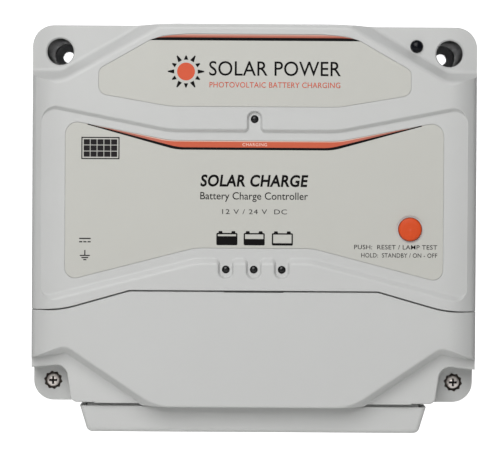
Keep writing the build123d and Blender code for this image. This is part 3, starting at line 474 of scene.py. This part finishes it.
upper_edge = sorted([p for p in edge_top if p[1] >= 23.5 and abs(p[0]) < 75.3])
fade_low = material("print_orange_tips", srgb(205, 96, 70), rough=0.55, grain=2600, bump=0.1, bump_mm=0.005, vary=0.02, spec=0.2)
nt = fade_low.node_tree
geo = nt.nodes.new("ShaderNodeTexCoord")
sep = nt.nodes.new("ShaderNodeSeparateXYZ")
side = nt.nodes.new("ShaderNodeMath")
side.operation = "ABSOLUTE"
rng = nt.nodes.new("ShaderNodeMapRange")
rng.inputs["From Min"].default_value = 30.0 * MM
rng.inputs["From Max"].default_value = 76.0 * MM
ramp = nt.nodes.new("ShaderNodeValToRGB")
ramp.color_ramp.elements[0].color = (*srgb(206, 98, 70), 1)
ramp.color_ramp.elements[1].color = (*srgb(128, 52, 40), 1)
for at, c in ((0.16, (206, 98, 72)), (0.32, (196, 112, 94)), (0.62, (172, 104, 90))):
    e = ramp.color_ramp.elements.new(at)
    e.color = (*srgb(*c), 1)
nt.links.new(geo.outputs["Object"], sep.inputs[0])
nt.links.new(sep.outputs["X"], side.inputs[0])
nt.links.new(side.outputs[0], rng.inputs["Value"])
nt.links.new(rng.outputs["Result"], ramp.inputs["Fac"])
nt.links.new(ramp.outputs["Color"], nt.nodes["Principled BSDF"].inputs["Base Color"])
ink("stripe_lower_orange", [[low_line + [(75.9, 30.75)] + upper_edge[::-1] + [(-75.9, 30.75)]]], LY, fade_low, thick=0.02)
ink("stripe_lower_black", [[low_line + mid_line[::-1]]], LY - 0.02, INK, thick=0.02)
pale_low = [(x, z - 0.42) for x, z in upper_edge if abs(x) < 72.0]
pale_top = [(x, z) for x, z in upper_edge if abs(x) < 72.0]
ink("stripe_lower_pale", [[[(-74.6, 30.68)] + pale_low + [(74.6, 30.68)] + pale_top[::-1]]], LY - 0.02, INK_PALE, thick=0.01)
text("mark_charging", "CHARGING", -5.4, 5.6, 21.25, 22.65, LY - 0.02, INK_LIGHT, spacing=1.15, thick=0.02)

# generic sun symbol and heading on the upper film
SUN = (-31.0, 54.6)
rays = []
for k in range(12):
    a = 2 * pi * k / 12
    ca, sa = cos(a), sin(a)
    r0, r1, w0, w1 = 5.3, 8.2 if k % 2 == 0 else 7.2, 0.95, 0.25
    rays.append([[(SUN[0] + r0 * ca - w0 * -sa, SUN[1] + r0 * sa - w0 * ca),
                  (SUN[0] + r1 * ca - w1 * -sa, SUN[1] + r1 * sa - w1 * ca),
                  (SUN[0] + r1 * ca + w1 * -sa, SUN[1] + r1 * sa + w1 * ca),
                  (SUN[0] + r0 * ca + w0 * -sa, SUN[1] + r0 * sa + w0 * ca)]])
ink("sun_rays", rays, UY, INK)
ink("sun_disc", [[circle(*SUN, 4.0, 48)]], UY, INK_ORANGE)
text("heading", "SOLAR POWER", -20.6, 38.6, 52.8, 59.4, UY, INK, weight=0.004, spacing=1.02)
text("heading_line", "PHOTOVOLTAIC BATTERY CHARGING", -20.4, 38.4, 47.5, 50.0, UY, INK_ORANGE, weight=0.006, spacing=1.05)

# middle of the lower film
text("title", "SOLAR CHARGE", -24.3, 24.3, 2.9, 8.4, LY, INK, weight=0.03, shear=0.14, spacing=1.06)
text("subtitle", "Battery Charge Controller", -24.3, 24.2, -3.9, 0.5, LY, INK, weight=0.004)
text("rating", "12 V / 24 V  DC", -14.4, 14.8, -9.4, -7.2, LY, INK_GREY, spacing=1.1)
text("button_note_1", "PUSH:  RESET / LAMP TEST", 45.2, 82.6, -24.9, -22.9, LY, INK, weight=0.004, spacing=1.05)
text("button_note_2", "HOLD:  STANDBY / ON - OFF", 48.4, 82.6, -28.6, -26.6, LY, INK, weight=0.004, spacing=1.05)

# battery level icons above the three windows
for k, (cx, level) in enumerate(((-12.2, 0.80), (0.1, 0.52), (12.8, 0.10))):
    x0, x1, z0, z1 = cx - 4.75, cx + 4.75, -23.45, -17.9
    t, r = 0.62, 0.55
    low, high = z0 + t, z1 - t
    top = low + (high - low) * level
    shell = outline([(x0, z0), (x1, z0), (x1, z1), (x0, z1)], [r, r, r, r], 0.0, 5)
    groups = [[shell, rect(x0 + t, x1 - t, low, high)[::-1]], [rect(x0 + t, x1 - t, low, top)]]
    for s in (-1, 1):
        groups.append([outline([(cx + s * 2.9 - 0.95, z1 - 0.02), (cx + s * 2.9 + 0.95, z1 - 0.02),
                                (cx + s * 2.9 + 0.75, z1 + 0.85), (cx + s * 2.9 - 0.75, z1 + 0.85)], [0, 0, 0.25, 0.25], 0.0, 4)])
    ink(f"battery_icon_{k + 1}", groups, LY, INK)

# photovoltaic module pictogram at the left, and the two plain symbols below it
PX, PZ, PW, PH = -69.4, 20.0, 8.6, 5.0
cells = [[rect(PX - PW, PX + PW, PZ - PH, PZ + PH),
          rect(PX - PW + 0.5, PX + PW - 0.5, PZ - PH + 0.5, PZ + PH - 0.5)[::-1]]]
for i in range(5):
    for j in range(3):
        w, h = (2 * PW - 1.8) / 5, (2 * PH - 1.8) / 3
        x0, z0 = PX - PW + 0.9 + i * w, PZ - PH + 0.9 + j * h
        cells.append([rect(x0 + 0.15, x0 + w - 0.15, z0 + 0.15, z0 + h - 0.15)])
ink("module_pictogram", cells, LY, INK_GREY)
DX, DZ = -76.2, -21.6
dc = [[rect(DX - 2.6, DX + 2.6, DZ + 0.55, DZ + 1.1)]]
for k in (-1, 0, 1):
    dc.append([rect(DX + k * 1.9 - 0.7, DX + k * 1.9 + 0.7, DZ - 0.95, DZ - 0.4)])
ink("direct_current_symbol", dc, LY, INK_GREY)
EX, EZ = -76.2, -28.2
earth = [[rect(EX - 0.25, EX + 0.25, EZ, EZ + 2.2)], [rect(EX - 2.3, EX + 2.3, EZ - 0.5, EZ)],
         [rect(EX - 1.5, EX + 1.5, EZ - 1.45, EZ - 0.95)], [rect(EX - 0.7, EX + 0.7, EZ - 2.4, EZ - 1.9)]]
ink("earth_symbol", earth, LY, INK_GREY)


# visual stand-in: a thin lip behind the tray's upper front edge that hides a 1.5 mm joint the CAD leaves open
def lip(name, x_end, y0, y1, z0, z1, mat):
    mid, r = (y0 + y1) / 2, (y1 - y0) / 2
    prof = [(y0, z0), (y1, z0)] + [(mid + r * cos(a), z1 - r + r * sin(a)) for a in [pi * k / 8 for k in range(9)]]
    cuts = [(-x_end, 0.55), (-x_end + 0.3, 0.85), (-x_end + 0.9, 1.0), (-25.0, 1.0), (25.0, 1.0),
            (x_end - 0.9, 1.0), (x_end - 0.3, 0.85), (x_end, 0.55)]
    bm = bmesh.new()
    rings = []
    for x, f in cuts:
        rings.append([bm.verts.new((x * MM, (mid + (y - mid) * f) * MM, (z0 + (z - z0) * (0.7 + 0.3 * f)) * MM)) for y, z in prof])
    for a, b in zip(rings, rings[1:]):
        for i in range(len(prof)):
            j = (i + 1) % len(prof)
            bm.faces.new((a[i], a[j], b[j], b[i]))
    bm.faces.new(rings[0][::-1])
    bm.faces.new(rings[-1])
    bmesh.ops.recalc_face_normals(bm, faces=bm.faces)
    me = bpy.data.meshes.new(name)
    bm.to_mesh(me)
    bm.free()
    me.materials.append(mat)
    ob = bpy.data.objects.new(name, me)
    scene.collection.objects.link(ob)
    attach(ob, "chassis")
    return ob


lip("tray_lip", 75.4, -55.95, -55.05, -98.4, -95.62, TRAYMAT)
